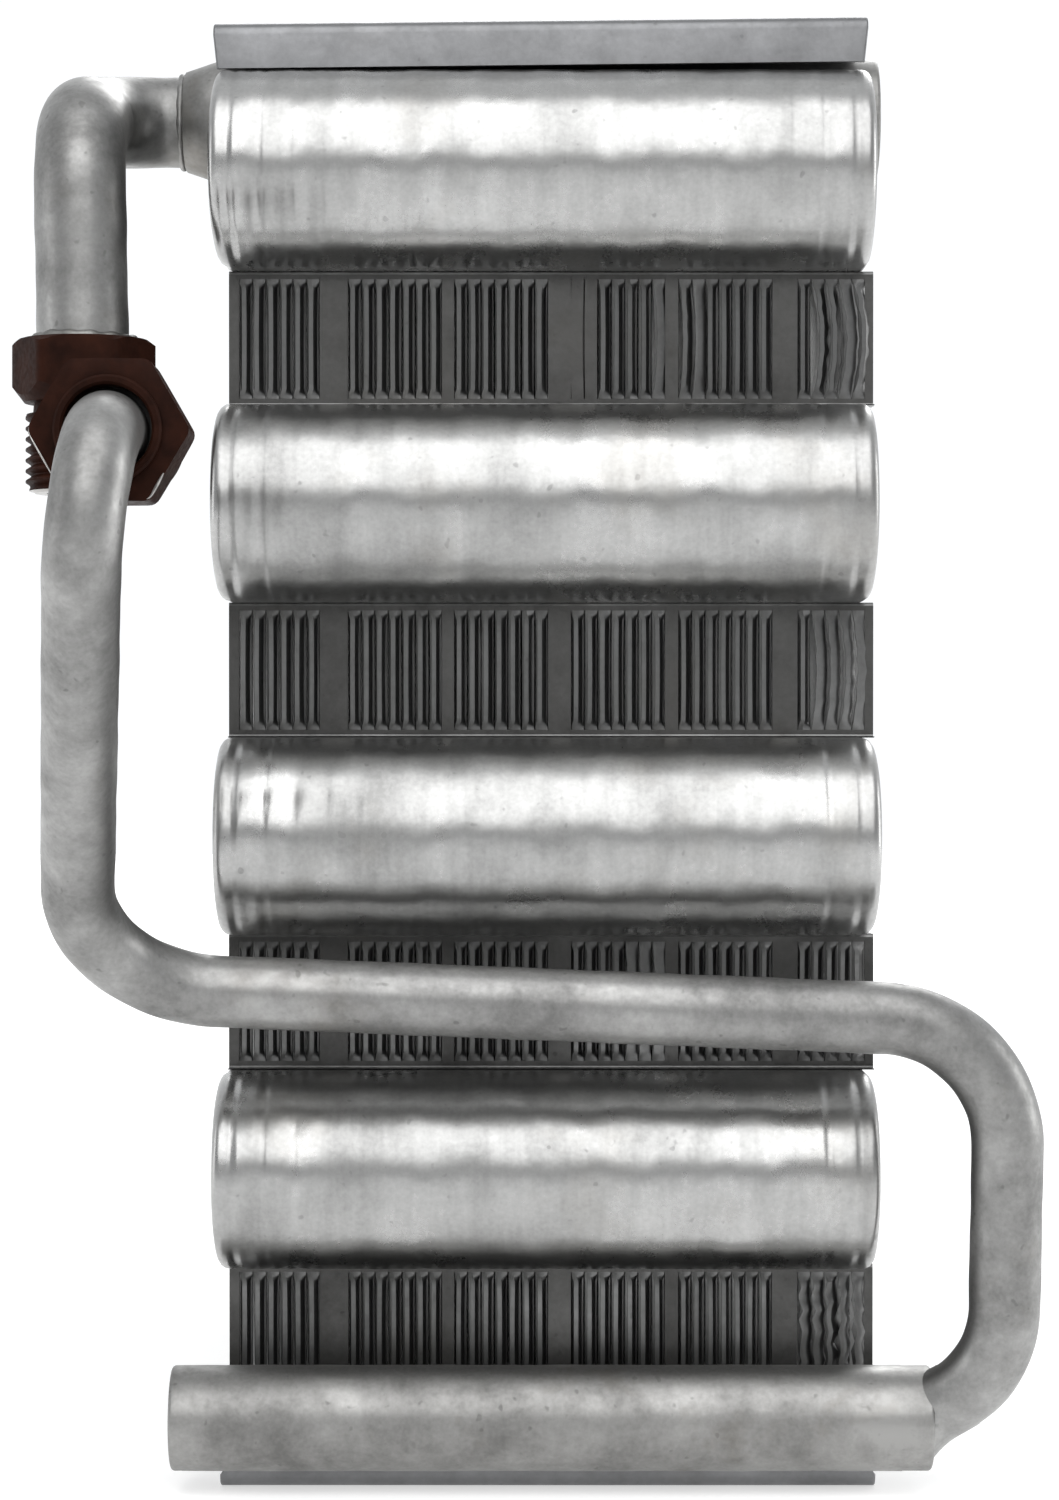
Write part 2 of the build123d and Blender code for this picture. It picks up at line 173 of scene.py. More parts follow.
# Flat tube: one aluminium extrusion with small ports side by side, folded in a serpentine.
# Each return bend swells a little at its ends, and its outer wall sinks slightly between the
# webs of the ports, which leaves faint ripples round the bend.
def metal_finish(name, light, dark, roughness, grain=1.0, cloud=1.0, stain=0.25, streak=(1, 1, 1)):
    """Bare aluminium: fine grain, cloudy tone, streaks along the draw, beige stains, dark specks."""
    material = bpy.data.materials.new(name)
    material.use_nodes = True
    tree = material.node_tree
    tree.nodes.clear()
    place = tree.nodes.new("ShaderNodeTexCoord").outputs["Object"]
    drawn = node(tree, "ShaderNodeVectorMath", Vector=place)
    drawn.operation = "MULTIPLY"
    drawn.inputs[1].default_value = streak

    def pattern(vector, scale, detail, strength):
        noise = node(tree, "ShaderNodeTexNoise", Vector=vector, Scale=scale, Detail=detail, Roughness=0.6)
        return combine(tree, "MULTIPLY", combine(tree, "SUBTRACT", noise.outputs["Fac"], 0.5), strength)

    fine = pattern(place, 1500.0, 2.0, 0.5 * grain)
    medium = pattern(drawn.outputs[0], 330.0, 3.0, 0.8 * grain)
    patches = pattern(place, 95.0, 4.0, 1.2 * cloud)
    broad = pattern(place, 24.0, 2.0, 0.8 * cloud)
    tone = combine(tree, "ADD", combine(tree, "ADD", fine, medium), combine(tree, "ADD", patches, broad))
    speck_noise = node(tree, "ShaderNodeTexNoise", Vector=place, Scale=620.0, Detail=1.0)
    specks = node(tree, "ShaderNodeMapRange", Value=speck_noise.outputs["Fac"],
                  From_Min=0.72, From_Max=0.78, To_Min=0.0, To_Max=0.35)
    tone = combine(tree, "SUBTRACT", combine(tree, "ADD", tone, 0.5), specks.outputs[0])
    colour = node(tree, "ShaderNodeMix", Factor=tone)
    colour.data_type = "RGBA"
    colour.inputs["A"].default_value = (*dark, 1)
    colour.inputs["B"].default_value = (*light, 1)
    stain_noise = node(tree, "ShaderNodeTexNoise", Vector=place, Scale=42.0, Detail=5.0, Roughness=0.65)
    stain_mask = node(tree, "ShaderNodeMapRange", Value=stain_noise.outputs["Fac"],
                      From_Min=0.55, From_Max=0.72, To_Min=0.0, To_Max=stain)
    stained = node(tree, "ShaderNodeMix", Factor=stain_mask.outputs[0])
    stained.data_type = "RGBA"
    stained.inputs["B"].default_value = (dark[0] * 0.95, dark[1] * 0.86, dark[2] * 0.74, 1)
    tree.links.new(colour.outputs["Result"], stained.inputs["A"])
    rough = node(tree, "ShaderNodeMapRange", Value=tone,
                 From_Min=0.0, From_Max=1.0, To_Min=roughness + 0.10, To_Max=roughness - 0.08)
    relief = combine(tree, "MULTIPLY", fine, 0.05)
    relief = combine(tree, "ADD", relief, combine(tree, "MULTIPLY", medium, 0.35))
    relief = combine(tree, "ADD", relief, combine(tree, "MULTIPLY", patches, 0.5))
    bump = node(tree, "ShaderNodeBump", Height=relief, Strength=0.6, Distance=0.00022)
    shader = node(tree, "ShaderNodeBsdfPrincipled", Roughness=rough.outputs[0], Normal=bump.outputs[0])
    tree.links.new(stained.outputs["Result"], shader.inputs["Base Color"])
    shader.inputs["Metallic"].default_value = 1.0
    node(tree, "ShaderNodeOutputMaterial", Surface=shader.outputs[0])
    return material


def sheet_section(width, thickness, edge_radius, across):
    """Outline of a flat strip with round edges: offsets along its width and through its thickness."""
    flat = np.linspace(-1, 1, across + 1) * (width / 2 - edge_radius)
    corner = np.radians(np.linspace(90, 0, 5))
    turn_x = width / 2 - edge_radius + edge_radius * np.cos(corner[1:])
    turn_d = thickness / 2 - edge_radius + edge_radius * np.sin(corner[1:])
    side_x = np.concatenate([flat, turn_x])
    side_d = np.concatenate([np.full(len(flat), thickness / 2), turn_d])
    half_x = np.concatenate([side_x, turn_x[::-1]])
    half_d = np.concatenate([side_d, -turn_d[::-1]])
    return (np.concatenate([half_x, -half_x]), np.concatenate([half_d, -half_d]))


def skin(name, rings, looped=False, finishes=(), finish_of_row=None, sharp_degrees=38):
    """A closed skin over a row of rings with equal numbers of points, shaded smooth up to an angle."""
    rows, points = len(rings), len(rings[0])
    ahead = np.roll(np.arange(points), -1)
    faces = []
    for row in range(rows if looped else rows - 1):
        near, far = row * points, ((row + 1) % rows) * points
        faces += [(near + p, near + q, far + q, far + p) for p, q in enumerate(ahead)]
    if not looped:
        faces += [tuple(range(points)), tuple(range((rows - 1) * points, rows * points))]
    mesh = bpy.data.meshes.new(name)
    mesh.from_pydata(np.concatenate(rings).tolist(), [], faces)
    for finish in finishes:
        mesh.materials.append(finish)
    if finish_of_row is not None:
        chosen = np.repeat([finish_of_row(row) for row in range(len(faces) // points)], points)
        closing = [0] * (len(faces) - len(chosen))
        mesh.polygons.foreach_set("material_index", np.concatenate([chosen, closing]).astype(np.int32))
    shape = bmesh.new()
    shape.from_mesh(mesh)
    bmesh.ops.recalc_face_normals(shape, faces=shape.faces)
    shape.to_mesh(mesh)
    shape.free()
    mesh.shade_smooth()
    mesh.set_sharp_from_angle(angle=math.radians(sharp_degrees))
    piece = bpy.data.objects.new(name, mesh)
    bpy.context.scene.collection.objects.link(piece)
    return piece


tube_low, tube_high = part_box("flat_tube")
tube_thickness = 4.3 * MM
tube_edge_radius = 1.3 * MM
tube_width = tube_high[0] - tube_low[0]
pass_pitch = 23 * MM
bend_radius = pass_pitch / 2
bend_count = 8
lowest_pass_z = tube_low[2] + tube_thickness / 2
near_bend_y = tube_low[1] + bend_radius + tube_thickness / 2
far_bend_y = tube_high[1] - bend_radius - tube_thickness / 2
tube_start_y = -104.8 * MM
tube_end_y = -85.2 * MM
port_pitch = 4.2 * MM
points_per_port = 9
bend_swell = 1.3 * MM
web_groove = 0.26 * MM
web_half_width = 0.5 * MM
wall_sag = 0.05 * MM
wall_wave = 0.045 * MM
wall_wave_rates = ((700, 4), (-420, 7), (1496, 3))
flat_margin = 1.2 * MM
rng = np.random.default_rng(7)


def tube_stations():
    """Middle line of the folded tube: y, z, heading, share of a full bend, outer side, bend number."""
    start_y = tube_start_y
    for level in range(bend_count + 1):
        z = lowest_pass_z + level * pass_pitch
        backwards = level % 2 == 0
        end_y = tube_end_y if level == bend_count else (far_bend_y if backwards else near_bend_y)
        heading = 0.0 if backwards else math.pi
        for share in (0.0, 0.5):
            yield start_y + (end_y - start_y) * share, z, heading, 0.0, 0, level
        if level == bend_count:
            yield end_y, z, heading, 0.0, 0, level
            return
        side = 1 if backwards else -1
        for angle in np.linspace(0, math.pi, 25):
            yield (end_y + side * bend_radius * math.sin(angle), z + bend_radius * (1 - math.cos(angle)),
                   heading + side * angle, max(0.0, math.sin(angle)) ** 0.45, -side, level)
        start_y = end_y


section_x, section_d = sheet_section(tube_width, tube_thickness, tube_edge_radius,
                                     round(tube_width / port_pitch) * points_per_port)
from_web = np.abs((section_x / port_pitch + 0.5) % 1 - 0.5) * port_pitch
groove = web_groove * np.exp(-(from_web / web_half_width) ** 2)
sag = wall_sag * np.sin(math.pi * from_web / port_pitch) ** 2
near_edge = np.clip((np.abs(section_x) - tube_width * 0.36) / (tube_width * 0.1), 0, 1)
web_places = np.linspace(-tube_width / 2, tube_width / 2, 44)
web_strength = [np.interp(section_x, web_places, rng.uniform(0.06, 0.32, len(web_places))) + 0.9 * near_edge
                for _ in range(bend_count + 1)]
bend_lean = rng.uniform(-0.25, 0.25, bend_count + 1) * MM
bend_shift = np.array((0.1, -0.1, 0, 0.1, 0, -0.25, 0.1, -0.55, 0)) * MM
wave_phase = rng.uniform(0, 6, (bend_count + 1, 3))
tube_rings = []
for y, z, heading, bent, outer_side, level in tube_stations():
    through_y, through_z = -math.sin(heading), math.cos(heading)
    on_outside = np.sign(section_d) == outer_side
    flat_part = np.abs(section_x) < tube_width / 2 - flat_margin
    dent = bent * on_outside * flat_part * (groove + sag) * web_strength[level]
    wave = sum(np.sin(section_x * x_rate + heading * turn_rate + phase)
               for (x_rate, turn_rate), phase in zip(wall_wave_rates, wave_phase[level]))
    depth = section_d - np.sign(section_d) * (dent + bent * wall_wave * wave * on_outside)
    wider = section_x * (1 + bent * bend_swell / tube_width) + bent * bend_shift[level]
    lean = bent * bend_lean[level] * section_x / tube_width
    tube_rings.append(np.stack([wider, y + depth * through_y, z + depth * through_z + lean], axis=1))
tube_metal = metal_finish("tube_aluminium", (0.53, 0.529, 0.523), (0.29, 0.2895, 0.285), 0.30,
                          streak=(1, 0.12, 0.12))
folded_tube = skin("folded_flat_tube", tube_rings, finishes=[tube_metal])
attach(folded_tube, "core")
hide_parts("flat_tube")


# Fin strips: thin aluminium ribbon folded to and fro between the passes, each leaf slit and
# twisted into six banks of louvres. They are brazed to the tube at their folds. The end leaves
# that face the open gaps have the bends and dents of handling. The leaves near both ends of each
# strip wear darker copies of the foil's finish, painted shade for the recess between the bends;
# the leaves inside keep the foil's own lighter finish.
louvre_pitch = 1.87 * MM
louvre_banks = [(-37.75, 6), (-21.7, 7), (-6.95, 7), (9.3, 7), (24.2, 7), (38.9, 5)]
slat_lip, slat_blade = 0.65 * MM, 1.05 * MM
lip_twist, blade_twist = math.radians(20), math.radians(60)
hidden_twist = math.radians(18)
foil_thickness = 0.13 * MM
leaf_spacing = 1.7 * MM
fold_radius = 0.42 * MM
louvre_margin = 0.65 * MM
right_margin = 0.8 * MM
slat_ease = 0.08
kink_rate, sway_rate = 37, 29
lower_shares = (0, 0.02, 0.045, 0.08, 0.13, 0.19, 0.25, 0.32, 0.4)
full_shares = (*lower_shares, 0.5, *(1 - share for share in reversed(lower_shares)))
plain_shares = (0, 0.08, 0.92, 1)
foot_length = 1.6 * MM
front_leaf_lean = 1.1 * MM
pressed_flat = 0.4
handling_marks = {
    "fin_row_7": [(-1.0, 6.5, 0.15, 0.0, 0.0), (14.0, 22.0, 0.7, 0.5, 0.05), (37.0, 46.0, 0.8, 0.9, 0.1)],
    "fin_row_5": [(36.0, 46.0, 0.6, 0.8, 0.1)],
    "fin_row_3": [(10.0, 16.0, 0.5, 0.3, 0.1)],
    "fin_row_1": [(34.0, 46.0, 0.8, 0.1, 0.3)],
}


def fin_strip(name, node_name, seed):
    """One folded, louvred ribbon that fills the box of its node."""
    low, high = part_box(node_name)
    marks = handling_marks.get(node_name, [])
    dice = random.Random(seed)
    middle_x, half_width = (low[0] + high[0]) / 2, (high[0] - low[0]) / 2
    half = np.array((half_width, 0, 0))
    leaf_count = round((high[1] - low[1]) / leaf_spacing)
    spacing = (high[1] - low[1] - 2 * fold_radius) / leaf_count
    height = high[2] - low[2]
    vertices, faces, face_finishes = [], [], []

    def ribbon(rows, thickness, end_shade_finish=1):
        """A strip through rows of points, with the foil's thickness and, near the ends, a painted-shade copy
        of the foil's finish.
        """
        first = len(vertices)
        for points, normal in rows:
            push = normal * thickness / 2
            vertices.extend([point - push for point in points])
            if thickness:
                vertices.extend([point + push for point in reversed(points)])
        corners = len(rows[0][0]) * (2 if thickness else 1)
        for row in range(len(rows) - 1):
            near, far = first + row * corners, first + (row + 1) * corners
            for side in range(corners if thickness else corners - 1):
                ahead = (side + 1) % corners
                faces.append((near + side, near + ahead, far + ahead, far + side))
                face_finishes.append(end_shade_finish if thickness else 0)

    def leaf(start, end, shares, thickness, outer_twist, inner_twist):
        """One leaf between two folds: plain at its foot and head, with banks of slats between."""
        rise = end - start
        length = np.linalg.norm(rise)
        rise = rise / length
        normal = np.cross(rise, (1, 0, 0))
        across = np.array((1.0, 0, 0))
        foot, head = louvre_margin, length - louvre_margin

        # The plain parts of the end leaves take the flats' painted shade.
        def plain(x0, x1, t0, t1):
            places = [start + rise * t for t in (t0, t1)]
            ribbon([((place + across * x0, place + across * x1), normal) for place in places], thickness, 2)

        plain(-half_width, half_width, 0, foot)
        plain(-half_width, half_width, head, length)
        reached = -half_width
        for bank_x, count in louvre_banks:
            bank_start = bank_x * MM - count * louvre_pitch / 2
            bank_end = min(bank_start + count * louvre_pitch, half_width - right_margin)
            plain(reached, bank_start, foot, head)
            for slat in range(count):
                middle = bank_start + (slat + 0.5) * louvre_pitch
                if middle + louvre_pitch / 2 > half_width:
                    continue
                flatten, sway, kink = 1 + dice.uniform(-0.1, 0.1), dice.uniform(-0.08, 0.08), 0.0
                kink_phase = dice.uniform(0, 6)
                if thickness:
                    for mark_low, mark_high, mark_flatten, mark_sway, mark_kink in marks:
                        if mark_low * MM < middle < mark_high * MM:
                            flatten *= mark_flatten + dice.uniform(-0.15, 0.15)
                            sway += mark_sway + dice.uniform(-0.25, 0.25)
                            kink += mark_kink
                rows = []
                for share in shares:
                    t = foot + (head - foot) * share
                    ease = min(1.0, share / slat_ease, (1 - share) / slat_ease)
                    opened = ease * flatten * (1 + 1.2 * kink * math.sin(share * kink_rate + kink_phase))
                    wavering = sway + kink * math.sin(share * sway_rate + kink_phase)
                    belly = math.sin(math.pi * share) * wavering * MM
                    centre = start + rise * t + across * (middle + belly) - normal * 0.2 * belly
                    outer, inner = outer_twist * opened, inner_twist * opened
                    lip = (across * math.cos(outer) + normal * math.sin(outer)) * slat_lip
                    blade = (across * math.cos(inner) + normal * math.sin(inner)) * slat_blade
                    facing = normal * math.cos(outer) - across * math.sin(outer)
                    left = centre - (lip + blade) / 2
                    crease = () if outer_twist == inner_twist else (left + lip,)
                    rows.append(((left, *crease, left + lip + blade), facing))
                # Slats pressed flat take the flats' painted shade too.
                ribbon(rows, thickness, 2 if flatten < pressed_flat else 1)
            reached = bank_end
        plain(reached, half_width, foot, head)

    def fold(y, z, upwards, thickness, foot):
        """The round fold between two leaves. The first fold of a strip runs out into a flat foot."""
        side = 1 if upwards else -1
        rows = []
        if foot:
            toe = np.array((middle_x, y - foot_length, z - side * foil_thickness / 2))
            rows.append(((toe - half, toe + half), np.array((0, 0, side))))
        for angle in np.radians(np.linspace(0 if foot else -90, 90, 6)):
            outward = np.array((0, math.sin(angle), side * math.cos(angle)))
            place = np.array((middle_x, y, z - side * fold_radius)) + outward * fold_radius
            rows.append(((place - half, place + half), outward))
        ribbon(rows, thickness)

    for index in range(leaf_count + 1):
        is_high = index % 2 == 1
        y = low[1] + fold_radius + index * spacing
        near_end = index < 2 or index > leaf_count - 3
        thickness = foil_thickness if near_end else 0
        lean = front_leaf_lean if index == 0 else 0
        fold(y + lean, high[2] if is_high else low[2], is_high, thickness, index == 0)
        if index == leaf_count:
            break
        edge = fold_radius if not is_high else height - fold_radius
        start = np.array((middle_x, y + lean + fold_radius, low[2] + edge))
        end = np.array((middle_x, y + spacing - fold_radius, low[2] + height - edge))
        if height > 4 * louvre_margin:
            outermost = index == 0 or index == leaf_count - 1
            twists = (lip_twist, blade_twist) if outermost else (hidden_twist, hidden_twist)
            leaf(start, end, full_shares if near_end else plain_shares, thickness, *twists)
        else:
            backwards = np.array((0, 1.0, 0))
            ribbon([((place - half, place + half), backwards) for place in (start, end)], thickness)
    mesh = bpy.data.meshes.new(name)
    mesh.from_pydata([tuple(v) for v in vertices], [], faces)
    for finish in (fin_metal, fin_slat_painted_shade, fin_flat_painted_shade):
        mesh.materials.append(finish)
    mesh.polygons.foreach_set("material_index", face_finishes)
    mesh.shade_smooth()
    mesh.set_sharp_from_angle(angle=math.radians(30))
    strip = bpy.data.objects.new(name, mesh)
    bpy.context.scene.collection.objects.link(strip)
    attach(strip, "core")
    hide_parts(node_name)


# fin_foil is the foil's own finish, on the leaves inside the strips. The other two are the same foil painted
# darker: painted shade on the end leaves' slats and folds, and deeper painted shade on their plain flats.
fin_metal = metal_finish("fin_foil", (0.72, 0.72, 0.715), (0.48, 0.48, 0.475), 0.50)
fin_slat_painted_shade = metal_finish("fin_slats_painted_shade", (0.23, 0.23, 0.228), (0.13, 0.13, 0.128), 0.40)
fin_flat_painted_shade = metal_finish("fin_flats_painted_shade", (0.118, 0.117, 0.114), (0.064, 0.063, 0.061), 0.40)
fin_nodes = [f"fin_row_{row}" for row in range(1, 8)] + ["fin_row_low", "fin_row_top"]
for seed, node_name in enumerate(fin_nodes):
    fin_strip(node_name.replace("fin_row", "fin_strip"), node_name, seed)


# End plates: sheet aluminium laid over the outermost fins and brazed, folded towards the core
# at both ends. The top one sits a little askew, its right side higher.
plate_thickness = 0.9 * MM
plate_fold_radius = 1.25 * MM
plate_corner = 0.5 * MM
plate_edge_radius = 0.3 * MM
plate_wave = 0.12 * MM


def folded_plate(name, node_name, inward, front_flange, back_flange, skew):
    """A plate as one sheet along its folded path, narrowed at both ends for its round corners."""
    low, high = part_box(node_name)
    width = high[0] - low[0]
    middle_x = (low[0] + high[0]) / 2
    flat_z = (high[2] if inward < 0 else low[2]) + inward * plate_thickness / 2
    near, far = low[1] + plate_thickness / 2, high[1] - plate_thickness / 2
    corners = [(0, near, flat_z + inward * front_flange), (0, near, flat_z),
               (0, far, flat_z), (0, far, flat_z + inward * back_flange)]
    line = centre_line(corners, [plate_fold_radius] * 2, 0.3 * MM, 6 * MM)
    travelled = np.concatenate([[0], np.cumsum(np.linalg.norm(np.diff(line, axis=0), axis=1))])
    headings = np.gradient(line, axis=0)
    headings /= np.linalg.norm(headings, axis=1)[:, None]
    rings = []
    for place, heading, gone in zip(line, headings, travelled):
        to_end = min(gone, travelled[-1] - gone, plate_corner)
        cut = plate_corner - math.sqrt(plate_corner ** 2 - (plate_corner - to_end) ** 2)
        x, d = sheet_section(width - 2 * cut, plate_thickness, plate_edge_radius, 40)
        wave = plate_wave * np.sin(x * 61 + place[1] * 23) * np.sin(place[1] * 31)
        through = np.array((0, -heading[2], heading[1]))
        ring = place + np.outer(d + wave * abs(heading[1]), through)
        ring[:, 0] = middle_x + x
        ring[:, 2] += skew * x / width
        rings.append(ring)
    plate = skin(name, rings, finishes=[plate_metal])
    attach(plate, "core")
    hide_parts(node_name)


def centre_line(corners, radii, arc_spacing, straight_spacing):
    """Points along a line that runs straight between its corners and takes each one on an arc."""
    corners = [np.array(corner, dtype=float) for corner in corners]
    points = [corners[0]]
    for before, corner, after, radius in zip(corners, corners[1:], corners[2:], radii):
        into = (corner - before) / np.linalg.norm(corner - before)
        out = (after - corner) / np.linalg.norm(after - corner)
        turn = math.acos(np.dot(into, out))
        inward = out - into * math.cos(turn)
        inward /= np.linalg.norm(inward)
        start = corner - into * radius * math.tan(turn / 2)
        centre = start + inward * radius
        for angle in np.linspace(0, turn, max(5, round(radius * turn / arc_spacing))):
            points.append(centre - inward * radius * math.cos(angle) + into * radius * math.sin(angle))
    points.append(corners[-1])
    filled = [points[0]]
    for near, far in zip(points, points[1:]):
        parts = max(1, round(np.linalg.norm(far - near) / straight_spacing))
        filled += [near + (far - near) * part / parts for part in range(1, parts + 1)]
    return np.array(filled)


plate_metal = metal_finish("plate_aluminium", (0.26, 0.263, 0.270), (0.18, 0.182, 0.186), 0.42,
                           cloud=0.8, stain=0.1)
folded_plate("top_end_plate", "top_plate", -1, 5.9 * MM, 5.9 * MM, 1.0 * MM)
folded_plate("bottom_end_plate", "bottom_plate", 1, 1.95 * MM, 5.9 * MM, 0)


# Manifolds: round aluminium tubes closed with pressed plugs. The lower one stands in front of the
# core and takes the lowest pass, the upper one lies behind the top bend with its left end spun to a
# cone. The plugs are brazed in.
def turned(name, rings, centre, axis, sides=72, **finish):
    """A turned piece: each ring is a place along the axis and a radius, as numbers or for each angle."""
    angles = np.linspace(0, 2 * math.pi, sides, endpoint=False)
    ordered = {"x": (0, 1, 2), "y": (1, 0, 2), "z": (2, 0, 1)}[axis]
    circles = []
    for along, radius in rings:
        local = (np.broadcast_to(along, sides), radius * np.cos(angles), radius * np.sin(angles))
        circle = np.empty((sides, 3))
        for source, target in enumerate(ordered):
            circle[:, target] = local[source] + centre[target]
        circles.append(circle)
    return skin(name, circles, **finish)


def rough_ring(name, centre, axis_direction, ring_radius, bead_radius, seed, finish):
    """A braze fillet: an uneven bead round a joint."""
    dice = np.random.default_rng(seed)
    direction = np.array(axis_direction, dtype=float) / np.linalg.norm(axis_direction)
    side = np.cross(direction, (0.3, 0.5, 0.81))
    side /= np.linalg.norm(side)
    up = np.cross(direction, side)
    around = np.linspace(0, 2 * math.pi, 96, endpoint=False)
    waves = sum(dice.uniform(0.3, 1) * np.sin(around * count + dice.uniform(0, 6))
                for count in (2, 3, 5, 9, 14))
    rings = []
    for angle, wave in zip(around, waves):
        outward = side * math.cos(angle) + up * math.sin(angle)
        size = bead_radius * (1 + 0.13 * wave)
        small = np.linspace(0, 2 * math.pi, 14, endpoint=False)
        bead_round = np.outer(np.cos(small) * size, outward) + np.outer(np.sin(small) * size, direction)
        rings.append(np.array(centre) + outward * ring_radius + bead_round)
    bead = skin(name, rings, looped=True, finishes=[finish])
    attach(bead, "core")


manifold_metal = metal_finish("manifold_aluminium", (0.36, 0.357, 0.348), (0.19, 0.188, 0.182), 0.48,
                              cloud=1.5, stain=0.6)
braze_metal = metal_finish("braze_alloy", (0.28, 0.276, 0.265), (0.11, 0.108, 0.103), 0.52,
                           grain=1.5, cloud=1.5, stain=0.5)
inlet_low, inlet_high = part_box("inlet_manifold")
inlet_radius = (inlet_high[2] - inlet_low[2]) / 2
inlet_centre = (0, (inlet_low[1] + inlet_high[1]) / 2, (inlet_low[2] + inlet_high[2]) / 2)
inlet_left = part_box("inlet_manifold_left_cap")[0][0]
inlet_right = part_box("inlet_manifold_right_cap")[1][0]
end_round = 0.5 * MM
plug_step = 0.05 * MM


def manifold_tube(name, node_name, centre, radius, left, right, lead_in=()):
    """The tube itself, its surface slightly uneven along its length."""
    rings = list(lead_in)
    for x in np.linspace(left, right, 60):
        rings.append((x, radius * (1 + 0.0025 * math.sin(x * 300) + 0.002 * math.sin(x * 790))))
    tube = turned(name, rings, centre, "x", sides=96, finishes=[manifold_metal])
    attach(tube, "core")
    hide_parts(node_name)


def plug(name, node_name, centre, radius, seat, outer):
    """A plug seen at a tube's end: a shallow step at its seat, then a round shoulder and a flat face."""
    side = 1 if outer > seat else -1
    shoulder = [(outer - side * end_round * (1 - math.sin(angle)),
                 radius - plug_step - end_round * (1 - math.cos(angle)))
                for angle in np.radians(np.linspace(0, 90, 7))]
    inner_rings = [(seat - side * 0.5 * MM, radius - 2 * MM), (seat, radius - plug_step)]
    rings = [*inner_rings, *shoulder, (outer, 1 * MM)]
    piece = turned(name, rings, centre, "x", finishes=[manifold_metal])
    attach(piece, "core")
    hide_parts(node_name)


manifold_tube("lower_manifold", "inlet_manifold", inlet_centre, inlet_radius, inlet_low[0], inlet_high[0])
plug("lower_manifold_left_plug", "inlet_manifold_left_cap", inlet_centre, inlet_radius,
     inlet_low[0], inlet_left)
plug("lower_manifold_right_plug", "inlet_manifold_right_cap", inlet_centre, inlet_radius,
     inlet_high[0], inlet_right)
outlet_low, outlet_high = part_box("outlet_manifold")
outlet_radius = (outlet_high[2] - outlet_low[2]) / 2
outlet_centre = (0, (outlet_low[1] + outlet_high[1]) / 2, (outlet_low[2] + outlet_high[2]) / 2)
cone_length = 5.3 * MM
cone_end_radius = 7.1 * MM
cone = [(outlet_low[0], cone_end_radius - 0.6 * MM), (outlet_low[0] + 0.4 * MM, cone_end_radius)]
manifold_tube("upper_manifold", "outlet_manifold", outlet_centre, outlet_radius,
              outlet_low[0] + cone_length, outlet_high[0], cone)
plug("upper_manifold_plug", "outlet_manifold_cap", outlet_centre, outlet_radius,
     outlet_high[0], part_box("outlet_manifold_cap")[1][0])


# Pipes: drawn aluminium tube bent cold. The thin one comes from the swivel nut, drops back to the
# valley between two bends, crosses the front and turns down and round into the lower manifold.
# The thick one leaves the upper manifold and turns forward and down into its fitting.
pipe_metal = metal_finish("pipe_aluminium", (0.385, 0.383, 0.376), (0.19, 0.189, 0.185), 0.44,
                          cloud=1.5, stain=0.4)


def pipe(name, node_name, line, radii, sides, seed):
    """A bent pipe: round sections along its line, very slightly uneven."""
    dice = np.random.default_rng(seed)
    travelled = np.concatenate([[0], np.cumsum(np.linalg.norm(np.diff(line, axis=0), axis=1))])
    headings = np.gradient(line, axis=0)
    headings /= np.linalg.norm(headings, axis=1)[:, None]
    side = np.cross(headings[0], (0.2, 0.4, 0.9))
    angles = np.linspace(0, 2 * math.pi, sides, endpoint=False)
    phase = dice.uniform(0, 6, 3)
    rings = []
    for place, heading, gone, radius in zip(line, headings, travelled, radii(travelled)):
        side = side - heading * np.dot(side, heading)
        side /= np.linalg.norm(side)
        up = np.cross(heading, side)
        uneven = 1 + 0.006 * math.sin(gone * 410 + phase[0]) + 0.004 * math.sin(gone * 930 + phase[1])
        oval = 1 + 0.012 * np.cos(2 * angles + phase[2])
        circle = np.outer(np.cos(angles), side) + np.outer(np.sin(angles), up)
        rings.append(place + (radius * uneven * oval)[:, None] * circle)
    piece = skin(name, rings, finishes=[pipe_metal])
    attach(piece, "core")
    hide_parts(node_name)


def millimetres(*points):
    """Points given in millimetres, as points in metres."""
    return [np.array(point) * MM for point in points]


thin_radius = 4.7625 * MM
bead_start, bead_end, bead_radius = 11.2 * MM, 13.4 * MM, 6.4 * MM
pilot_radius = 4.45 * MM
thin_corners = millimetres((-54, -142, 140.4), (-54, -184.3, 140.4), (-62.8, -118, 69.6),
                           (61.9, -118, 64.6), (61.6, -113, 16.2), (51.4, -108, 11.2))
thin_line = centre_line(thin_corners, [11 * MM, 18 * MM, 17.5 * MM, 16 * MM], 0.6 * MM, 0.6 * MM)


def thin_radii(travelled):
    """The thin pipe's radius along its length: the narrow stretch in the nut, the bead, the plain pipe."""
    along_bead = np.clip((travelled - bead_start) / (bead_end - bead_start), 0, 1)
    bead = np.clip(1.3 * np.sin(math.pi * along_bead), 0, 1)
    plain = np.where(travelled < bead_start, pilot_radius, thin_radius)
    return plain + (bead_radius - plain) * bead


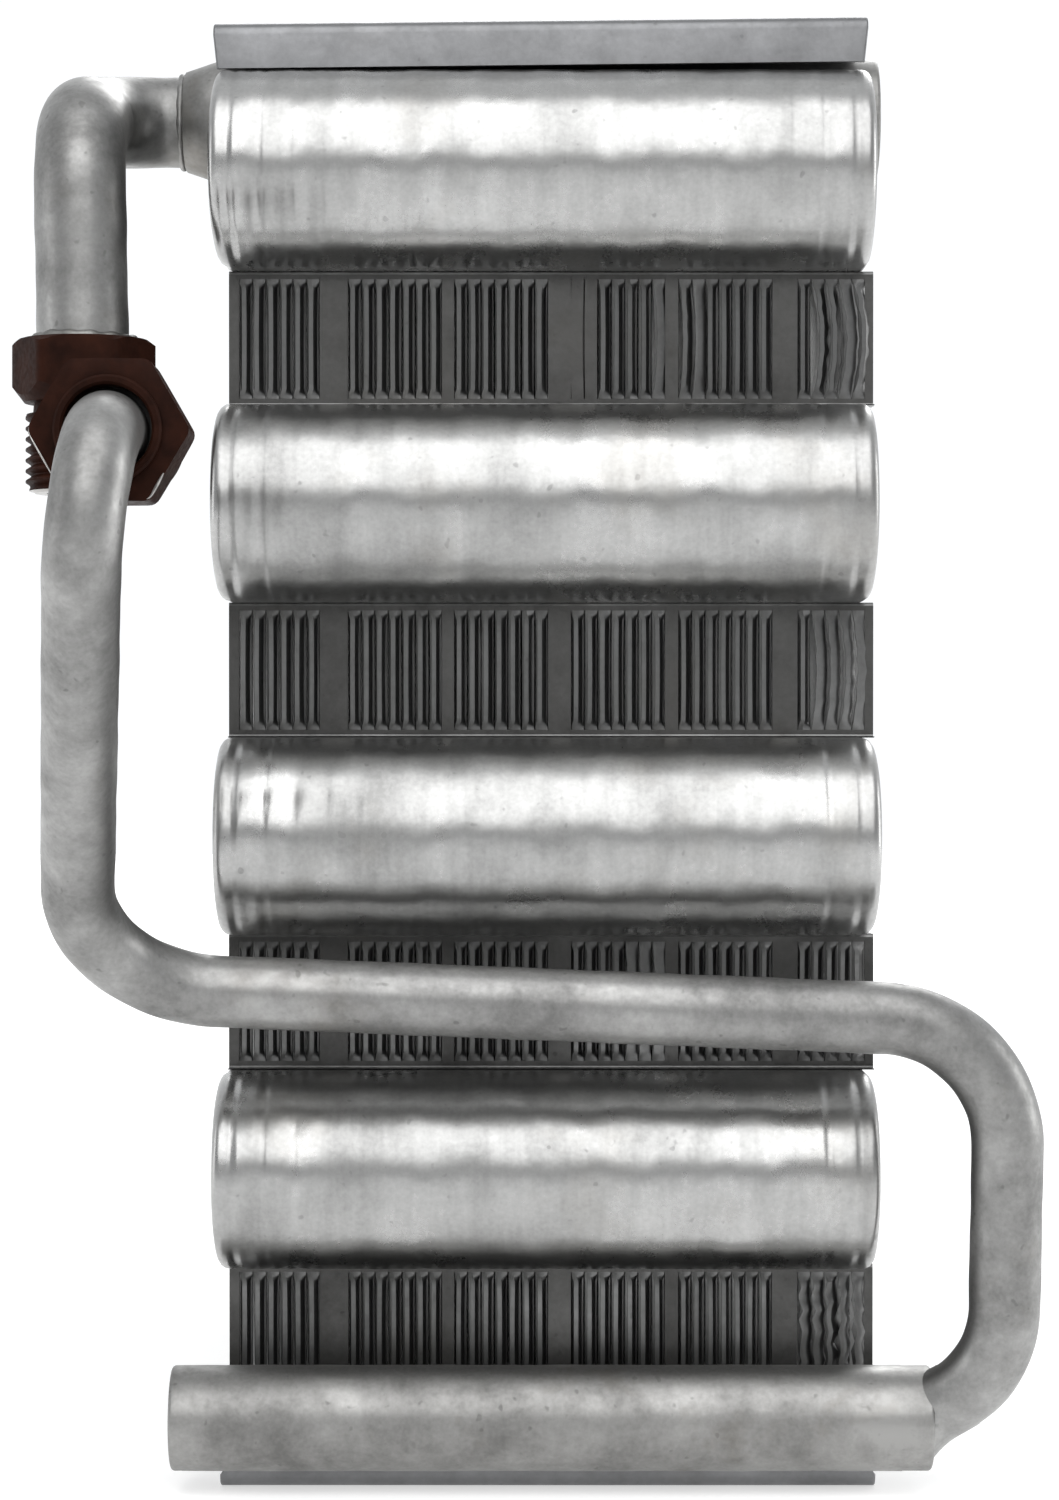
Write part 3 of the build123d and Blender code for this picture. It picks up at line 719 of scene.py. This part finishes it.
pipe("thin_pipe", "inlet_pipe", thin_line, thin_radii, 48, 1)
thick_radius = 6.35 * MM
outlet_axis = (-63.4 * MM, -105 * MM)
thick_corners = millimetres((-45, -83, 190.8), (-63.9, -83, 190.8), (-64.1, -105, 187), (-63.4, -105, 150.7))
thick_line = centre_line(thick_corners, [11.5 * MM, 11.2 * MM], 0.5 * MM, 0.8 * MM)
pipe("thick_pipe", "outlet_pipe", thick_line, lambda travelled: np.full(len(travelled), thick_radius), 56, 2)
thick_pipe_seat = (outlet_low[0] - 0.1 * MM, outlet_centre[1], outlet_centre[2])
rough_ring("thick_pipe_fillet", thick_pipe_seat, (1, 0, 0), thick_radius + 0.1 * MM, 0.45 * MM,
           11, pipe_metal)
joint_angles = np.linspace(0, 2 * math.pi, 64, endpoint=False)
joint_stations = 10
joint_line = thin_line[-joint_stations:]
joint_radius = thin_radius + 0.1 * MM
joint_flare = 4
joint_headings = np.gradient(joint_line, axis=0)
joint_headings /= np.linalg.norm(joint_headings, axis=1)[:, None]
foot_centre = (inlet_right - 0.05 * MM, -107.6 * MM, 10.4 * MM)
foot_radius = 6.1 * MM


def joint_ring(station, radius):
    """Points round the pipe at a station of the joint, the first one on top."""
    upper_side = np.cross((0, 1, 0), joint_headings[station])
    upper_side /= np.linalg.norm(upper_side)
    circle = np.outer(np.cos(joint_angles), upper_side) + np.outer(np.sin(joint_angles), (0, 1, 0))
    return joint_line[station] + radius * circle


foot_circle = np.outer(np.cos(joint_angles), (0, 0, 1)) + np.outer(np.sin(joint_angles), (0, 1, 0))
spread = np.array(foot_centre) + foot_radius * foot_circle - joint_ring(-1, joint_radius)
joint_shares = np.linspace(0, 1, joint_stations) ** joint_flare
joint_rings = [joint_ring(0, thin_radius - 0.3 * MM)]
joint_rings += [joint_ring(station, joint_radius) + spread * share
                for station, share in enumerate(joint_shares)]
joint = skin("thin_pipe_joint", joint_rings, finishes=[pipe_metal])
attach(joint, "core")


# Fittings: steel with a dark brown coating that has worn to bare metal on the edges. The left one
# is brazed on the thick pipe and has a male thread, the right one is a loose nut on the thin pipe.
def coated_finish(name):
    """Dark brown coating, slightly glossy, with darker specks and dull scuffs."""
    material = bpy.data.materials.new(name)
    material.use_nodes = True
    tree = material.node_tree
    tree.nodes.clear()
    place = tree.nodes.new("ShaderNodeTexCoord").outputs["Object"]
    broad = node(tree, "ShaderNodeTexNoise", Vector=place, Scale=260.0, Detail=4.0, Roughness=0.6)
    fine = node(tree, "ShaderNodeTexNoise", Vector=place, Scale=1500.0, Detail=2.0)
    tone = combine(tree, "MULTIPLY_ADD", combine(tree, "SUBTRACT", broad.outputs["Fac"], 0.5), 2.2, 0.45)
    colour = node(tree, "ShaderNodeMix", Factor=tone)
    colour.data_type = "RGBA"
    colour.inputs["A"].default_value = (0.012, 0.0040, 0.0024, 1)
    colour.inputs["B"].default_value = (0.034, 0.0110, 0.0062, 1)
    rough = node(tree, "ShaderNodeMapRange", Value=fine.outputs["Fac"],
                 From_Min=0.3, From_Max=0.7, To_Min=0.42, To_Max=0.60)
    bump = node(tree, "ShaderNodeBump", Height=fine.outputs["Fac"], Strength=0.25, Distance=0.00004)
    shader = node(tree, "ShaderNodeBsdfPrincipled", Roughness=rough.outputs[0], Normal=bump.outputs[0])
    shader.inputs["Specular IOR Level"].default_value = 0.05
    tree.links.new(colour.outputs["Result"], shader.inputs["Base Color"])
    node(tree, "ShaderNodeOutputMaterial", Surface=shader.outputs[0])
    return material


brown_coat = coated_finish("brown_coating")
bare_steel = metal_finish("bare_edge_metal", (0.55, 0.54, 0.52), (0.30, 0.29, 0.28), 0.34,
                          grain=0.15, cloud=0.15)
fitting_sides = 144
hexagon_flats, hexagon_turn = 17.5 * MM, 30


def hexagon_radius(flats, turn_degrees, corner_round):
    """Distance from the axis to a hexagon with slightly round corners, for each angle."""
    angles = np.linspace(0, 2 * math.pi, fitting_sides, endpoint=False) - math.radians(turn_degrees)
    from_flat = (angles + math.pi / 6) % (math.pi / 3) - math.pi / 6
    sharp = flats / 2 / np.cos(from_flat)
    corner = flats / 2 / math.cos(math.pi / 6) - corner_round
    return np.minimum(sharp, corner + (sharp - corner) * 0.25 * (sharp > corner))


def hexagon_rings(low, high, hexagon, low_bevel, high_bevel):
    """Rings of a turned hexagon: its bevels, each a radius and a slope, cut arcs into the flats."""
    (low_radius, low_slope), (high_radius, high_slope) = low_bevel, high_bevel
    return [(low, np.minimum(hexagon, low_radius)),
            (low + np.maximum(hexagon - low_radius, 0) * low_slope, hexagon),
            (high - np.maximum(hexagon - high_radius, 0) * high_slope, hexagon),
            (high, np.minimum(hexagon, high_radius))]


fitting_low, fitting_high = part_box("outlet_fitting")
hex_height = 8.6 * MM
hex_low = fitting_high[2] - hex_height
thread_top = hex_low - 1.4 * MM
thread_end = fitting_low[2]
thread_radius = 7.94 * MM
thread_pitch = 1.45 * MM
thread_depth = 0.75 * MM
bore_radius = 4.8 * MM
fitting_centre = (*outlet_axis, 0)
left_hexagon = hexagon_radius(hexagon_flats, hexagon_turn, 0.35 * MM)
around = np.linspace(0, 2 * math.pi, fitting_sides, endpoint=False)
thread_rings = []
for z in np.arange(thread_end + 0.3 * MM, thread_top - 0.2 * MM, thread_pitch / 9):
    wave = np.abs(((z / thread_pitch - around / (2 * math.pi)) % 1) * 2 - 1)
    fade = min(1.0, (z - thread_end) / thread_pitch + 0.2, (thread_top - z) / thread_pitch + 0.1)
    cut = thread_depth * np.clip(wave * 1.5 - 0.25, 0, 1) * fade
    tip = min(0, (z - thread_end - 0.9 * MM)) * 0.8
    thread_rings.append((z, thread_radius + tip - cut))
mouth_rings = [(thread_end + 6 * MM, bore_radius), (thread_end + 0.3 * MM, bore_radius),
               (thread_end, bore_radius + 0.3 * MM), (thread_end, thread_radius - 1.3 * MM),
               (thread_end + 0.3 * MM, thread_radius - 0.9 * MM)]
neck_rings = [(thread_top, 6.9 * MM), (hex_low - 0.15 * MM, 6.8 * MM), (hex_low, 7.1 * MM)]
hexagon_part = hexagon_rings(hex_low, fitting_high[2], left_hexagon, (8.1 * MM, 1.3), (8.85 * MM, 0.75))
fitting_rings = [*mouth_rings, *thread_rings, *neck_rings, *hexagon_part, (fitting_high[2], 6.5 * MM)]
outlet_fitting = turned("left_fitting", fitting_rings, fitting_centre, "z", fitting_sides,
                        finishes=[brown_coat, bare_steel], sharp_degrees=30,
                        finish_of_row=lambda row: 1 if row < len(mouth_rings) else 0)
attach(outlet_fitting, "core")
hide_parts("outlet_fitting")
rough_ring("fitting_fillet", (*outlet_axis, fitting_high[2]), (0, 0, 1), thick_radius + 0.3 * MM, 0.75 * MM,
           13, braze_metal)

nut_low, nut_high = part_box("inlet_nut")
nut_centre = (-54 * MM, 0, 140.4 * MM)
nut_hexagon = hexagon_radius(hexagon_flats, hexagon_turn, 0.3 * MM)
nut_hex_low, nut_hex_high = nut_low[1] + 1.2 * MM, nut_low[1] + 10.7 * MM
nut_bevel_radius, nut_bevel_slope = 8.75 * MM, 0.5
nut_hole_radius, nut_thread_radius, nut_shoulder_y = 5.5 * MM, 7.1 * MM, nut_low[1] + 4.4 * MM
nut_bevel = (nut_bevel_radius, nut_bevel_slope)
front_collar = [(nut_shoulder_y, nut_hole_radius), (nut_low[1] + 0.3 * MM, nut_hole_radius),
                (nut_low[1], 5.8 * MM), (nut_low[1], 6.4 * MM), (nut_low[1] + 0.3 * MM, 6.7 * MM),
                (nut_hex_low, 6.7 * MM)]
back_collar = [(nut_hex_high, 8.2 * MM), (nut_high[1] - 0.5 * MM, 8.2 * MM), (nut_high[1], 7.7 * MM),
               (nut_high[1], nut_thread_radius)]
nut_middle = hexagon_rings(nut_hex_low, nut_hex_high, nut_hexagon, nut_bevel, nut_bevel)
nut_outside = [*front_collar, *nut_middle, *back_collar]
inner_thread = []
for y in np.arange(nut_high[1] - 0.4 * MM, nut_low[1] + 4.6 * MM, -thread_pitch / 8):
    turn = (y / thread_pitch - around / (2 * math.pi)) * 2 * math.pi
    inner_thread.append((y, nut_thread_radius + 0.25 * MM * np.sin(turn)))
nut_rings = [*nut_outside, *inner_thread, (nut_shoulder_y, 7.0 * MM)]
bare_back_row = len(nut_outside) - 3
swivel_nut = turned("swivel_nut", nut_rings, nut_centre, "y", fitting_sides, looped=True,
                    finishes=[brown_coat, bare_steel], sharp_degrees=30,
                    finish_of_row=lambda row: 1 if row == bare_back_row else 0)
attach(swivel_nut, "nut")
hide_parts("inlet_nut")


def worn_edge(name, first_degrees, last_degrees, thickness):
    """Bare metal along a part of the nut's front edge, where spanners have rubbed the coating off."""
    rings = []
    for share in np.linspace(0, 1, 16):
        angle = math.radians(first_degrees + (last_degrees - first_degrees) * share)
        reach = np.interp(angle, around, nut_hexagon)
        outward = np.array((math.cos(angle), 0, math.sin(angle)))
        front = nut_hex_low + max(reach - nut_bevel_radius, 0) * nut_bevel_slope
        place = np.array(nut_centre) + (0, front, 0) + outward * (reach - thickness * 0.6)
        size = thickness * (0.3 + 0.7 * math.sin(math.pi * share))
        small = np.linspace(0, 2 * math.pi, 10, endpoint=False)
        edge_round = np.outer(np.cos(small) * size, outward) + np.outer(np.sin(small) * size, (0, 1, 0))
        rings.append(place + edge_round)
    edge = skin(name, rings, finishes=[bare_steel])
    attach(edge, "nut")


worn_edge("nut_worn_edge_left", 178, 226, 0.13 * MM)
worn_edge("nut_worn_edge_right", 299, 322, 0.26 * MM)
